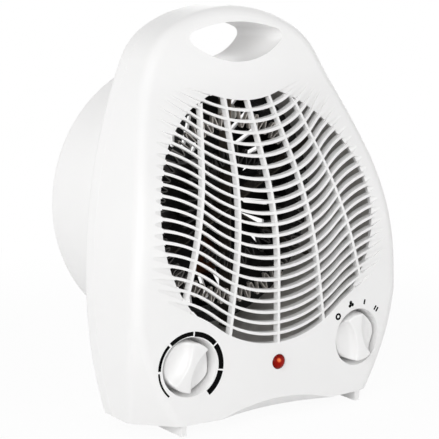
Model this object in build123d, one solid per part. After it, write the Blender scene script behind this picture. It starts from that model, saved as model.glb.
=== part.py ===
from build123d import *
import math
import os

# Upright portable fan heater, millimetres. +Z is up, the front faces -Y. The shells are drawn about
# the middle of their own depth, and the finished pieces are moved so that the origin is on the floor
# under the middle of the whole object, knobs included.

# Body outline, seen from the front: one widest point, then tangent arcs up to the crown
height = 245.0
depth = 120.0
body_bottom = 7.0
half_width = 97.0
widest_z = 65.0
lower_radius = 250.0
shoulder_radius = 42.0
shoulder_turn = 30.0
crown_radius = 90.0
wall = 2.6

# Front face, seen from the side: upright panel, bulge, straight lean, then the handle
bulge_z = 90.0
bulge_radius = 150.0
grille_lean = 26.5
handle_drop = 51.0
handle_blend = 60.0
handle_lean = 14.0
dome_radius = 870.0
edge_radius = 8.0

# Lower front corners, swept away by a large arc that runs diagonally
corner_trim = 5.9
corner_top_z = 85.0
corner_radius = 193.0
corner_blend = 8.0
scoop_half_width = 43.0
scoop_height = 7.0
scoop_angle = 42.0

# Rear rim that leans back, and the drum behind it
lean = 6.9
rim_setback = 54.5
rim_depth = 13.5
rim_edge = 5.0
seam_groove = 0.35
drum_floor_gap = 33.0
drum_handle_gap = 1.2
drum_side_gap = 2.8
drum_edge = 6.0

# Outlet grille: U-shaped slats, fanned ribs, all inside one round opening
opening_margin = 13.0
grille_depth = 4.2
slat_pitch = 6.52
slat_height = 1.7
top_slat_margin = 13.75
low_slat_margin = 7.85
slat_arc = 71.0
rib_pole_rise = 189.0
rib_step = 7.7
rib_width = 1.7
ribs_each_side = 2
slat_overrun = 12.0
groove_length = 18.0
groove_depth = 2.0
groove_tip = 0.6
groove_lap = 1.0
groove_clear = 2.0

# Hand hole
hole_front_half = 39.0
hole_rear_half = 26.5
hole_from_top = 9.2
hole_height = 23.6
hole_end_drop = 7.5
hole_corner = 4.0
hole_lead = 5.0

# Controls on the lower panel
knob_from_side = 35.1
knob_z = 41.9
dish_mouth = 17.8
dish_floor = 15.6
dish_depth = 12.3
knob_radius = 14.8
knob_disc = 3.2
knob_gap = 0.4
knob_taper = 0.6
knob_edge = 1.5
grip_height = 11.5
grip_width = 6.6
control_shaft_radius = 3.0
control_collar_radius = 4.6
fit = 0.05
clearance = 0.3
thermostat_turn = -27.0
switch_turn = 14.0
control_size = 24.0
thermostat_length = 12.0
switch_length = 15.0
lamp_z = 36.2
lamp_radius = 4.6
lamp_flange = 1.2
lamp_length = 12.0
lamp_dome = 2.6
tab_length = 6.0
tab_width = 4.8
tab_sheet = 0.8

# Feet
foot_from_side = 32.6
foot_width = 3.6
foot_setback = 4.7
foot_back_gap = 24.0
foot_heel = 6.0
foot_web_z = 40.0

# Air path: duct, fan plate, heating element
duct_sheet = 1.0
duct_seat = 1.8
plate_lead = 3.0
plate_sheet = 2.0
plate_collar = 14.0
fan_margin = 19.0
lug_radius = 4.5
lug_length = 9.0
mica_sheet = 1.0
mica_depth = 12.0
mica_gap = 2.0
mica_boards = 3
ribbon_width = 3.0
ribbon_sheet = 0.6
ribbon_edge_gap = 14.8
ribbon_ring_width = 14.0
ribbon_ring_gap = 8.0
ribbon_pitch = 6.6
ribbon_bend = 0.7
ribbon_gap = 4.0
cutout_edge = 19.8
cutout_radius = 5.0
cutout_height = 4.5
fuse_radius = 2.2
fuse_length = 11.0
fuse_lead = 0.55

# Fan and its shaded-pole motor
fan_tip_gap = 3.0
fan_gap = 1.5
fan_length = 16.0
hub_radius = 17.0
blade_count = 5
blade_root_pitch = 42.0
blade_tip_pitch = 24.0
blade_sheet = 1.8
blade_root_chord = 20.0
blade_tip_chord = 30.0
blade_root_sink = 2.0
shaft_radius = 3.0
core_length = 14.0
core_half_width = 30.0
core_above = 22.0
core_below = 40.0
limb = 10.0
rotor_radius = 12.0
air_gap = 0.4
rotor_end_gap = 0.5
window_half = 17.0
window_height = 12.0
winding_half = 15.0
winding_build = 5.0
bracket_sheet = 2.0
bracket_half_height = 6.0
bracket_standoff = 4.0
bearing_radius = 8.0
bearing_length = 3.5
bracket_screw_x = 22.0
clip_length = 4.0
clip_radius = 6.0
boss_radius = 4.0
boss_length = 7.4
boss_x = 24.0
boss_above = 15.0
boss_below = 33.0

# Fasteners
screw_radius = 1.5
head_radius = 3.2
head_height = 2.2
head_edge = 0.8
recess_width = 0.9
recess_length = 3.6
recess_depth = 1.2
post_radius = 4.2
top_post_x = 48.0
top_post_drop = 39.0
low_post_from_side = 41.0
low_post_z = 17.0
screw_length = 11.0
boss_depth = 5.0

# Rear intake slots
slot_inner = 30.0
slot_margin = 11.0
slot_bar = 5.0
slot_width = 3.2
slot_counts = (24, 36)

# Mains inlet and terminals
inlet_gap = 5.3
inlet_z = 21.5
inlet_bore = 3.6
inlet_radius = 6.0
inlet_flange = 8.5
inlet_lip = 1.0
block_gap = 6.8
block_size = (30.0, 10.0, 12.0)
block_ways = 3
well_radius = 2.2

# Values worked out from the driving sizes
front_y = -depth / 2
drum_back_y = depth / 2
dome_axis_y = front_y + dome_radius
far = 2 * height
lean_rad = math.radians(lean)
rim_foot_y = front_y + rim_setback
handle_start_z = height - handle_drop
corner_reach = (half_width - front_y) / math.sqrt(2) - corner_trim
hole_top = height - hole_from_top
hole_bottom = hole_top - hole_height
hole_end_z = hole_top - hole_end_drop
knob_x = half_width - knob_from_side
foot_x = half_width - foot_from_side
foot_front_y = front_y + foot_setback
foot_back_y = drum_back_y - foot_back_gap
top_post = (top_post_x, height - top_post_drop)
low_post = (half_width - low_post_from_side, low_post_z)
inlet_x = -(low_post[0] - post_radius - inlet_gap - inlet_flange)
block_x = low_post[0] - post_radius - block_gap - block_size[0] / 2
rim_plane = Plane((0, rim_foot_y, 0), x_dir=(1, 0, 0), z_dir=(0, math.cos(lean_rad), -math.sin(lean_rad)))
outline_low_z = body_bottom - 3 * edge_radius
slat_gap = slat_pitch - slat_height

# The side arc is the one that is tangent to the shoulder arc and upright at the widest point
shoulder_c = (
    (crown_radius - shoulder_radius) * math.sin(math.radians(shoulder_turn)),
    height - crown_radius + (crown_radius - shoulder_radius) * math.cos(math.radians(shoulder_turn)),
)
shoulder_out = half_width - shoulder_c[0]
shoulder_up = shoulder_c[1] - widest_z
side_radius = (shoulder_out**2 + shoulder_up**2 - shoulder_radius**2) / (2 * (shoulder_out - shoulder_radius))

# The drum fills the room between the floor gap, the hand hole and the sides
axis_z = (drum_floor_gap + hole_bottom - drum_handle_gap) / 2
side_at_axis = half_width - side_radius + math.sqrt(side_radius**2 - (axis_z - widest_z) ** 2)
drum_radius = min(axis_z - drum_floor_gap, side_at_axis - drum_side_gap)
drum_inner = drum_radius - wall
drum_floor_y = drum_back_y - wall
opening_radius = drum_radius - opening_margin
duct_radius = opening_radius + duct_seat
duct_inner = duct_radius - duct_sheet
fan_opening = drum_radius - fan_margin
fan_radius = fan_opening - fan_tip_gap

# The grille keeps its pitch and takes as many slats as the opening holds
top_slat_z = axis_z + opening_radius - top_slat_margin
slat_count = round((2 * opening_radius - top_slat_margin - low_slat_margin) / slat_pitch) + 1
slat_turn_x = (opening_radius + slat_overrun) / 2
rib_pole_z = axis_z + rib_pole_rise

# The motor stands on the drum's floor, the fan on the motor, the heating element in front of the fan
core_back_y = drum_floor_y - boss_length
core_front_y = core_back_y - core_length
fan_front_y = core_front_y - bracket_standoff - bearing_length - fan_gap - fan_length
plate_y = fan_front_y + plate_lead
clip_front_y = fan_front_y - 1.5 * clip_length
mica_front_y = clip_front_y - mica_gap - mica_depth
cutout_y = mica_front_y + mica_depth / 2
cutout_rise = duct_radius - cutout_edge
outer_ring = (duct_inner - ribbon_edge_gap - ribbon_ring_width, duct_inner - ribbon_edge_gap)
inner_ring = (outer_ring[0] - ribbon_ring_gap - ribbon_ring_width, outer_ring[0] - ribbon_ring_gap)


def mirrored(point):
    return (-point[0], point[1])


def along(start, target, distance):
    """The point at a distance from start, in the direction of target."""
    span = math.dist(start, target)
    return (
        start[0] + (target[0] - start[0]) * distance / span,
        start[1] + (target[1] - start[1]) * distance / span,
    )


def arc_between(centre, radius, start, end):
    """The short arc of a circle between two points on it."""
    middle = ((start[0] + end[0]) / 2, (start[1] + end[1]) / 2)
    return ThreePointArc(start, along(centre, middle, radius), end)


def face_of(lines):
    return make_face(Wire([line.edge() for line in lines]))


def outline(inset):
    """Front outline of the body, drawn inwards by inset, run on below the floor of the body."""
    side_c = (half_width - side_radius, widest_z)
    low_c = (half_width - lower_radius, widest_z)
    crown_c = (0, height - crown_radius)
    side_end = along(side_c, shoulder_c, side_radius - inset)
    crown_end = along(crown_c, shoulder_c, crown_radius - inset)
    wide = (half_width - inset, widest_z)
    low_r = lower_radius - inset
    low = (low_c[0] + math.sqrt(low_r**2 - (outline_low_z - widest_z) ** 2), outline_low_z)
    lower_arc = arc_between(low_c, low_r, low, wide)
    side_arc = arc_between(side_c, side_radius - inset, wide, side_end)
    shoulder_arc = arc_between(shoulder_c, shoulder_radius - inset, side_end, crown_end)
    crown_arc = ThreePointArc(crown_end, (0, height - inset), mirrored(crown_end))
    half = [lower_arc, side_arc, shoulder_arc]
    other = [line.edge().mirror(Plane.YZ) for line in reversed(half)]
    edges = [Line(mirrored(low), low).edge()] + [line.edge() for line in half]
    return make_face(Wire(edges + [crown_arc.edge()] + other))


def profile_points():
    """Corner points of the front profile as (y, z), from the bulge up to the handle."""
    steep = math.radians(grille_lean)
    shallow = math.radians(handle_lean)
    bulge_end = (
        front_y + bulge_radius * (1 - math.cos(steep)),
        bulge_z + bulge_radius * math.sin(steep),
    )
    lean_end = (bulge_end[0] + (handle_start_z - bulge_end[1]) * math.tan(steep), handle_start_z)
    handle = (
        lean_end[0] + handle_blend * (math.cos(shallow) - math.cos(steep)),
        lean_end[1] + handle_blend * (math.sin(steep) - math.sin(shallow)),
    )
    return bulge_end, lean_end, handle


def profile_y(z):
    """Depth of the front profile on the centre line at height z."""
    bulge_end, lean_end, handle = profile_points()
    steep = math.radians(grille_lean)
    if z <= bulge_z:
        return front_y
    if z <= bulge_end[1]:
        return front_y + bulge_radius - math.sqrt(bulge_radius**2 - (z - bulge_z) ** 2)
    if z <= lean_end[1]:
        return bulge_end[0] + (z - bulge_end[1]) * math.tan(steep)
    if z <= handle[1]:
        sine = math.sin(steep) - (z - lean_end[1]) / handle_blend
        return lean_end[0] + handle_blend * (math.sqrt(1 - sine**2) - math.cos(steep))
    return handle[0] + (z - handle[1]) * math.tan(math.radians(handle_lean))


def face_y(x, z):
    """Depth of the domed front face at any place on it."""
    reach = dome_axis_y - profile_y(z)
    return dome_axis_y - math.sqrt(reach**2 - x**2)


def face_normal(x, z):
    step = 0.01
    slope_x = (face_y(x + step, z) - face_y(x - step, z)) / (2 * step)
    slope_z = (face_y(x, z + step) - face_y(x, z - step)) / (2 * step)
    return Vector(slope_x, -1, slope_z).normalized()


def behind_face(shift):
    """Everything behind the domed front face moved back by shift."""
    bulge_end, lean_end, handle = profile_points()
    low_z = outline_low_z - edge_radius
    top_z = height + edge_radius
    back_y = depth
    foot = (front_y, low_z)
    bulge = (front_y, bulge_z)
    bulge_mid = (profile_y((bulge_z + bulge_end[1]) / 2), (bulge_z + bulge_end[1]) / 2)
    blend_mid = (profile_y((lean_end[1] + handle[1]) / 2), (lean_end[1] + handle[1]) / 2)
    top = (profile_y(top_z), top_z)
    section = face_of(
        [
            Line(foot, bulge),
            ThreePointArc(bulge, bulge_mid, bulge_end),
            Line(bulge_end, lean_end),
            ThreePointArc(lean_end, blend_mid, handle),
            Line(handle, top),
            Line(top, (back_y, top_z)),
            Line((back_y, top_z), (back_y, low_z)),
            Line((back_y, low_z), foot),
        ]
    )
    sweep = math.degrees(math.asin(1.2 * half_width / (dome_axis_y - depth)))
    axis = Axis((0, dome_axis_y, 0), (0, 0, 1))
    solid = revolve((Plane.YZ * section).rotate(axis, -sweep), axis, 2 * sweep)
    return Pos(0, shift, 0) * solid


def on_face(edge):
    """True for an edge of the front outline, which lies on the face and isn't level."""
    points = [edge @ share for share in (0.0, 0.3, 0.5, 0.7, 1.0)]
    heights = [p.Z for p in points]
    if max(heights) - min(heights) < 0.01:
        return False
    return all(abs(p.Y - face_y(p.X, p.Z)) < 0.02 for p in points)


def corner_cut(inset):
    """Right-hand cutter for the lower front corner, a large arc run diagonally."""
    centre = (corner_reach - corner_radius, corner_top_z)
    radius = corner_radius - inset
    low_z = outline_low_z - edge_radius
    top = (centre[0] + radius, corner_top_z)
    low = (centre[0] + math.sqrt(radius**2 - (low_z - corner_top_z) ** 2), low_z)
    out = 2 * corner_reach
    section = face_of(
        [
            arc_between(centre, radius, low, top),
            Line(top, (out, corner_top_z)),
            Line((out, corner_top_z), (out, low_z)),
            Line((out, low_z), low),
        ]
    )
    diagonal = Plane((0, 0, 0), x_dir=(1, -1, 0), z_dir=(-1, -1, 0))
    return extrude(diagonal * section, 2 * half_width, both=True)


def on_corner(edge, inset):
    """True for an upright edge that a lower corner cut has left."""
    points = [edge @ share for share in (0.0, 0.3, 0.5, 0.7, 1.0)]
    heights = [p.Z for p in points]
    if max(heights) - min(heights) < 0.01 or max(heights) > corner_top_z:
        return False
    radius = corner_radius - inset
    for p in points:
        reach = (abs(p.X) - p.Y) / math.sqrt(2)
        arc = corner_reach - corner_radius + math.sqrt(radius**2 - (p.Z - corner_top_z) ** 2)
        if abs(reach - arc) > 0.02:
            return False
    return True


def above(z):
    return Pos(0, 0, z) * Box(far, far, far, align=(Align.CENTER, Align.CENTER, Align.MIN))


def behind_rim(offset):
    """Everything behind the plane that lies offset in front of the rim's back."""
    box = Box(far, 2 * far, far, align=(Align.CENTER, Align.CENTER, Align.MIN))
    return rim_plane.offset(-offset) * box


def front_form(inset):
    """Whole front body as a solid, drawn inwards by inset on every side."""
    prism = extrude(Plane.XZ.offset(-depth) * outline(inset), 2 * depth)
    body = Pos(0, -inset, 0) * (prism & behind_face(inset))
    body = fillet([e for e in body.edges() if on_face(e)], edge_radius - inset)
    body = Pos(0, inset, 0) * body
    cut = corner_cut(inset)
    body = body - cut - mirror(cut, Plane.YZ)
    body = fillet([e for e in body.edges() if on_corner(e, inset)], corner_blend - inset)
    return body & above(body_bottom + inset)


def hand_hole(grow):
    """Tapered hand hole through the handle, made larger all round by grow."""
    sections = []
    for half, y in ((hole_front_half, hole_front_y), (hole_rear_half, hole_rear_y)):
        end = half + grow
        lens = make_face(
            ThreePointArc((-end, hole_end_z), (0, hole_top + grow), (end, hole_end_z)).edge()
            + ThreePointArc((end, hole_end_z), (0, hole_bottom - grow), (-end, hole_end_z)).edge()
        )
        lens = fillet(lens.vertices(), hole_corner)
        sections.append(Plane.XZ.offset(-y) * lens)
    return loft(sections)


def slat_rise(x):
    """How far a slat has risen at a distance x from the centre line."""
    reach = abs(x)
    at_turn = slat_arc - math.sqrt(slat_arc**2 - slat_turn_x**2)
    if reach <= slat_turn_x:
        return slat_arc - math.sqrt(slat_arc**2 - reach**2)
    left = max(2 * slat_turn_x - reach, 0)
    return 2 * at_turn - (slat_arc - math.sqrt(slat_arc**2 - left**2))


def slat_line(z):
    """One U-shaped line across the grille: an arc, turned over at both ends."""
    turn = (slat_turn_x, z + slat_rise(slat_turn_x))
    end = (2 * slat_turn_x, z + slat_rise(2 * slat_turn_x))
    mid_x = 1.5 * slat_turn_x
    middle = (mid_x, z + slat_rise(mid_x))
    outer = ThreePointArc(turn, middle, end)
    centre = ThreePointArc(mirrored(turn), (0, z), turn)
    other = ThreePointArc(mirrored(end), mirrored(middle), mirrored(turn))
    return [other.edge(), centre.edge(), outer.edge()]


def gap_band(z):
    """Flat band between two slats whose lower edge crosses the centre line at z."""
    low = slat_line(z)
    high = slat_line(z + slat_gap)
    end_x = 2 * slat_turn_x
    end_z = z + slat_rise(end_x)
    closing = [
        Line((end_x, end_z), (end_x, end_z + slat_gap)).edge(),
        Line((-end_x, end_z), (-end_x, end_z + slat_gap)).edge(),
    ]
    return make_face(Wire(low + high + closing))


def gap_heights():
    """Lower edge of each gap on the centre line, from the top down."""
    first = top_slat_z + slat_height / 2
    return [first - slat_pitch * i for i in range(slat_count + 1)]


def grille_slots():
    """The open cells of the grille, as solids run from front to back."""
    ribs = []
    for i in range(-ribs_each_side, ribs_each_side + 1):
        rib = Pos(0, rib_pole_z) * Rot(0, 0, i * rib_step) * Rectangle(rib_width, 2 * far)
        ribs.append(rib)
    disc = Pos(0, axis_z) * Circle(opening_radius)
    cells = Sketch() + [gap_band(z) for z in gap_heights()]
    cells = (cells & disc) - ribs
    return extrude(Plane.XZ.offset(depth) * cells, -depth)


def crossing_x(z):
    """Where a slat line leaves the round opening."""
    low, high = 0.0, 2 * slat_turn_x
    for _ in range(40):
        mid = (low + high) / 2
        inside = math.hypot(mid, z + slat_rise(mid) - axis_z) < opening_radius
        low, high = (mid, high) if inside else (low, mid)
    return low


def side_x(z):
    """Half width of the body at a height below the shoulders."""
    radius = side_radius if z > widest_z else lower_radius
    return half_width - radius + math.sqrt(radius**2 - (z - widest_z) ** 2)


def groove_cuts():
    """Shallow grooves that carry each gap on past the opening, narrow and fade out."""
    cuts = []
    for z in gap_heights():
        mid = z + slat_gap / 2
        start_x = crossing_x(mid) - groove_lap
        start_z = mid + slat_rise(start_x)
        step = 0.5
        slope = (slat_rise(start_x + step) - slat_rise(start_x)) / step
        run = groove_length / math.hypot(1, slope)
        edge_x = side_x(start_z + slope * run) - edge_radius - groove_clear
        run = min(run, edge_x - start_x)
        end_x = start_x + run
        end_z = start_z + slope * run
        start = Vector(start_x, face_y(start_x, start_z), start_z)
        end = Vector(end_x, face_y(end_x, end_z), end_z)
        normal = face_normal(start_x, start_z)
        floor = start - normal * groove_depth
        axis = (floor - end).normalized()
        out = (normal - axis * normal.dot(axis)).normalized()
        wide = slat_gap / math.hypot(1, slope) / 2
        long = (floor - end).length
        corners = [(0, -groove_tip), (long, -wide), (long, wide), (0, groove_tip)]
        plan = make_face(Polyline(*corners, close=True))
        cut = extrude(Plane(end, x_dir=axis, z_dir=out) * plan, 2 * grille_depth)
        cuts += [cut, mirror(cut, Plane.YZ)]
    return cuts


def turned(radius, start_y, length, x=0.0, z=axis_z):
    """A round bar along Y from start_y backwards."""
    return extrude(Plane.XZ.offset(-start_y) * Pos(x, z) * Circle(radius), -length)


def rim_spot(x, z):
    """Plane on the back of the rim at a place given by x and height, facing backwards."""
    return Plane(rim_plane.from_local_coords((x, -z / math.cos(lean_rad), 0)), (1, 0, 0), rim_plane.z_dir)


def rim_y(z):
    return rim_foot_y + z * math.tan(lean_rad)


def post_places():
    return [(sign * x, z) for x, z in (top_post, low_post) for sign in (-1, 1)]


def rim_bar(x, z, radius, start, length):
    """A round bar square to the rim's back: start is measured backwards from it, length forwards."""
    bar = Cylinder(radius, length, align=(Align.CENTER, Align.CENTER, Align.MAX))
    return rim_spot(x, z).offset(start) * bar


def bar_along(plane, radius, length):
    return plane * Cylinder(radius, length, align=(Align.CENTER, Align.CENTER, Align.MIN))


# Places that several pieces share
dish_floor_y = face_y(knob_x, knob_z) + dish_depth
control_y = dish_floor_y + wall
hole_front_y = profile_y(hole_bottom) - hole_lead
hole_rear_y = rim_y(hole_top) + hole_lead
panel_back_y = face_y(lamp_radius + lamp_flange, lamp_z) + wall
motor_bosses = [(sign * boss_x, axis_z + rise) for rise in (boss_above, -boss_below) for sign in (-1, 1)]
bracket_screws = [(sign * bracket_screw_x, axis_z) for sign in (-1, 1)]
lug_angles = (45, 135, 225, 315)
lug_reach = (duct_radius + drum_inner) / 2
lug_turns = [math.radians(angle) for angle in lug_angles]
lug_places = [(lug_reach * math.cos(turn), axis_z + lug_reach * math.sin(turn)) for turn in lug_turns]
outer_form = front_form(0)
rim_seam = behind_rim(rim_depth)
posts = [rim_bar(x, z, post_radius, -wall, depth) & outer_form for x, z in post_places()]


def make_front_shell():
    shell = outer_form - (front_form(wall) - bottom_scoop(wall))
    pad = turned(opening_radius + wall, -depth, 2 * depth) & outer_form
    shell += pad - behind_face(grille_depth)
    for sign in (-1, 1):
        cup = turned(dish_mouth + wall, -depth, depth + control_y, sign * knob_x, knob_z)
        shell += cup & outer_form
    shell += hand_hole(wall) & outer_form
    shell -= rim_seam
    shell += posts
    shell -= hand_hole(0)
    flare = (dish_mouth - dish_floor) / dish_depth
    length = dish_floor_y - front_y + dish_depth
    mouth = dish_floor + flare * length
    for sign in (-1, 1):
        dish = Cone(dish_floor, mouth, length, align=(Align.CENTER, Align.CENTER, Align.MIN))
        shell -= Plane.XZ.offset(-dish_floor_y) * Pos(sign * knob_x, knob_z, 0) * dish
        shell -= turned(control_collar_radius + clearance, front_y, depth, sign * knob_x, knob_z)
    shell -= turned(lamp_radius + fit, -depth, depth, 0, lamp_z)
    shell -= [rim_bar(x, z, screw_radius + fit, 0, screw_length) for x, z in post_places()]
    shell -= bottom_scoop(0)
    shell -= grille_slots()
    shell -= groove_cuts()
    return shell


def bottom_scoop(grow):
    """Arched chamfer under the front edge, moved into the body by grow."""
    slope = math.radians(scoop_angle)
    radius = scoop_half_width**2 / (2 * scoop_height * math.cos(slope))
    plane = Plane(
        (0, front_y, body_bottom + scoop_height),
        x_dir=(1, 0, 0),
        z_dir=(0, math.cos(slope), -math.sin(slope)),
    )
    return plane * Pos(0, radius, 0) * Cylinder(radius + grow, 6 * scoop_height)


def rim_block(inset):
    prism = extrude(Plane.XZ.offset(-depth) * outline(inset), 2 * depth)
    return (prism & above(body_bottom + inset)) - behind_rim(-inset)


def make_rear_shell():
    block = (rim_block(0) & rim_seam) - behind_rim(0)
    back_edges = [e for e in block.edges() if abs(rim_plane.to_local_coords(e @ 0.5).Z) < 0.01]
    block = fillet(back_edges, rim_edge)
    seam_edges = [e for e in block.edges() if abs(rim_plane.to_local_coords(e @ 0.5).Z + rim_depth) < 0.01]
    block = chamfer(seam_edges, seam_groove)
    drum = turned(drum_radius, rim_foot_y, drum_back_y - rim_foot_y) & rim_seam
    drum = fillet(drum.edges().group_by(Axis.Y)[-1], drum_edge)
    hollow = ((rim_block(wall) & behind_rim(2 * rim_depth)) - behind_rim(wall))
    hollow += turned(drum_inner, -depth, depth + drum_floor_y)
    shell = block + drum - hollow
    shell += (hand_hole(wall) & block)
    shell += plate_lugs()
    for x, z in motor_bosses:
        shell += turned(boss_radius, core_back_y, drum_floor_y - core_back_y + wall / 2, x, z)
    shell -= hand_hole(0)
    shell -= [rim_bar(x, z, screw_radius + clearance, depth, 2 * depth) for x, z in post_places()]
    shell -= [turned(screw_radius + fit, plate_y, lug_length, x, z) for x, z in lug_places]
    shell -= [turned(screw_radius + fit, core_back_y, boss_depth, x, z) for x, z in motor_bosses]
    shell -= rim_bar(inlet_x, inlet_z, inlet_radius + fit, wall, 3 * wall)
    shell -= intake_slots()
    return shell


def plate_lugs():
    """Lugs inside the drum wall that carry the fan plate."""
    middle = drum_inner + wall / 2
    lug = Pos(lug_reach) * Circle(lug_radius)
    lug += Pos((lug_reach + middle) / 2) * Rectangle(middle - lug_reach, 2 * lug_radius)
    lugs = Sketch() + [Rot(0, 0, angle) * lug for angle in lug_angles]
    return extrude(Plane.XZ.offset(-plate_y - plate_sheet) * Pos(0, axis_z) * lugs, -lug_length)


def misses_bosses(inner, outer, angle):
    """True where a radial slot leaves every motor boss behind it whole."""
    for x, z in motor_bosses:
        reach = x * math.cos(angle) + (z - axis_z) * math.sin(angle)
        across = x * math.sin(angle) - (z - axis_z) * math.cos(angle)
        nearest = min(max(reach, inner), outer)
        if math.hypot(reach - nearest, across) < boss_radius + slot_width:
            return False
    return True


def intake_slots():
    """Radial air slots in the drum's back, in two rings that stop beside the motor's bosses."""
    slot_outer = drum_radius - slot_margin
    middle = (slot_inner + slot_outer) / 2
    rings = ((slot_inner, middle - slot_bar / 2), (middle + slot_bar / 2, slot_outer))
    slots = Sketch()
    for (inner, outer), count in zip(rings, slot_counts):
        slot = Pos((inner + outer) / 2, 0) * SlotOverall(outer - inner, slot_width)
        turns = [i * 360 / count for i in range(count)]
        slots += [Rot(0, 0, turn) * slot for turn in turns if misses_bosses(inner, outer, math.radians(turn))]
    return extrude(Plane.XZ.offset(-drum_floor_y + wall) * Pos(0, axis_z) * slots, -3 * wall)


def make_foot(x):
    """Thin skid under the body, with a web up the back of the rim."""
    corners = [
        (foot_front_y, 0),
        (foot_back_y, 0),
        (foot_back_y, foot_heel),
        (rim_y(foot_web_z) + foot_heel, foot_web_z),
        (rim_y(foot_web_z), foot_web_z),
        (rim_y(body_bottom + rim_edge), body_bottom + rim_edge),
        (rim_y(body_bottom + rim_edge), body_bottom),
        (foot_front_y, body_bottom),
    ]
    side = make_face(Polyline(*corners, close=True))
    return Pos(x, 0, 0) * extrude(Plane.YZ * side, foot_width / 2, both=True)


def make_air_duct():
    tube = turned(duct_radius, front_y, plate_y - front_y)
    tube -= turned(duct_inner, front_y, plate_y - front_y)
    return tube & behind_face(grille_depth + clearance)


def make_fan_plate():
    """Plate across the drum with a collar round the fan."""
    plate = turned(drum_inner - clearance, plate_y, plate_sheet)
    plate += turned(fan_opening + plate_sheet, plate_y, plate_collar)
    plate -= turned(fan_opening, plate_y, plate_collar)
    plate -= [turned(screw_radius + clearance, plate_y, plate_sheet, x, z) for x, z in lug_places]
    return plate


def make_mica_frame():
    length = 2 * (duct_inner - clearance)
    frame = Part()
    for i in range(mica_boards):
        turn = 90 + i * 180 / mica_boards
        sheet = Pos(0, axis_z) * Rot(0, 0, turn) * Rectangle(length, mica_sheet)
        frame += extrude(Plane.XZ.offset(-mica_front_y) * sheet, -mica_depth)
    return frame


def ribbon_points(ring):
    """Corners of a zigzag that runs round between two radii and leaves one gap open."""
    inner, outer = ring
    waves = round(math.pi * (inner + outer) / ribbon_pitch)
    points = []
    for i in range(2 * waves):
        angle = math.radians(90 + ribbon_gap + i * (360 - 2 * ribbon_gap) / (2 * waves - 1))
        radius = outer if i % 2 else inner
        points.append((radius * math.cos(angle), radius * math.sin(angle)))
    return points


def make_heating_ribbon(ring):
    """Flat resistance ribbon bent into a zigzag, its width along the air flow."""
    path = FilletPolyline(*ribbon_points(ring), radius=ribbon_bend)
    strip = trace(path, ribbon_sheet)
    ribbon = extrude(Plane.XZ.offset(-(mica_front_y - ribbon_width)) * Pos(0, axis_z) * strip, -ribbon_width)
    return ribbon


def make_thermal_cutout():
    """Bimetal disc switch on the right of the upright mica board."""
    plane = Plane((mica_sheet / 2, cutout_y, axis_z + cutout_rise), x_dir=(0, 1, 0), z_dir=(1, 0, 0))
    body = bar_along(plane, cutout_radius, cutout_height)
    cap = bar_along(plane.offset(cutout_height), cutout_radius * 0.7, cutout_height / 3)
    tab = plane.offset(cutout_height / 2) * Box(3 * cutout_radius, tab_width, tab_sheet)
    return body + cap + tab


def make_thermal_fuse():
    """Sleeved fuse on the left of the upright mica board, with its two leads."""
    x = -(mica_sheet / 2 + fuse_radius)
    z = axis_z + cutout_rise
    fuse = Cylinder(fuse_radius, fuse_length) + Cylinder(fuse_lead, 2 * fuse_length)
    return Pos(x, cutout_y, z) * fuse


def make_motor_core():
    """Laminated core with the rotor bore, a window for the winding and its screw holes."""
    tall = core_above + core_below
    outline_box = Pos(0, core_above - tall / 2) * Rectangle(2 * core_half_width, tall)
    outline_box = fillet(outline_box.vertices(), limb / 3)
    window = Pos(0, -core_below + limb + window_height / 2) * Rectangle(2 * window_half, window_height)
    shape = outline_box - Circle(rotor_radius + air_gap) - window
    core = extrude(Plane.XZ.offset(-core_front_y) * Pos(0, axis_z) * shape, -core_length)
    holes = motor_bosses + bracket_screws
    return core - [turned(screw_radius + clearance, core_front_y, core_length, x, z) for x, z in holes]


def make_motor_winding():
    """Coil round the lower limb of the core."""
    limb_z = axis_z - core_below + limb / 2
    high = window_height - 2 * clearance
    long = core_length + 2 * clearance
    tall = limb + 2 * clearance
    outer = Box(2 * winding_half, long + 2 * winding_build, tall + 2 * high)
    inner = Box(2 * winding_half, long, tall)
    coil = fillet(outer.edges().filter_by(Axis.X), winding_build * 0.8)
    return Pos(0, core_front_y + core_length / 2, limb_z) * (coil - inner)


def make_bracket(seat_y, outward, standoff):
    """Bearing strap: a bar on two standoffs, with a bearing cup on the fan axis."""
    bar_y = seat_y + outward * (standoff + bracket_sheet / 2)
    bar = Pos(0, bar_y, axis_z) * Box(
        2 * (bracket_screw_x + bracket_half_height), bracket_sheet, 2 * bracket_half_height
    )
    bar = fillet(bar.edges().filter_by(Axis.Y), bracket_half_height * 0.8)
    cup_plane = Plane((0, seat_y, axis_z), x_dir=(1, 0, 0), z_dir=(0, outward, 0))
    cup = bar_along(cup_plane.offset(standoff), bearing_radius, bearing_length)
    strap = bar + cup
    if standoff > 0:
        for x, z in bracket_screws:
            plane = Plane((x, seat_y, z), x_dir=(1, 0, 0), z_dir=(0, outward, 0))
            strap += bar_along(plane, boss_radius, standoff)
    strap -= turned(shaft_radius + fit, front_y, depth)
    return strap - [turned(screw_radius + clearance, front_y, depth, x, z) for x, z in bracket_screws]


def make_rotor():
    rotor = turned(rotor_radius, core_front_y + rotor_end_gap, core_length - 2 * rotor_end_gap)
    return rotor - turned(shaft_radius + fit / 2, core_front_y, core_length)


def make_fan_shaft():
    start = fan_front_y - clip_length
    return turned(shaft_radius, start, core_back_y + bearing_length - start)


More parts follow.
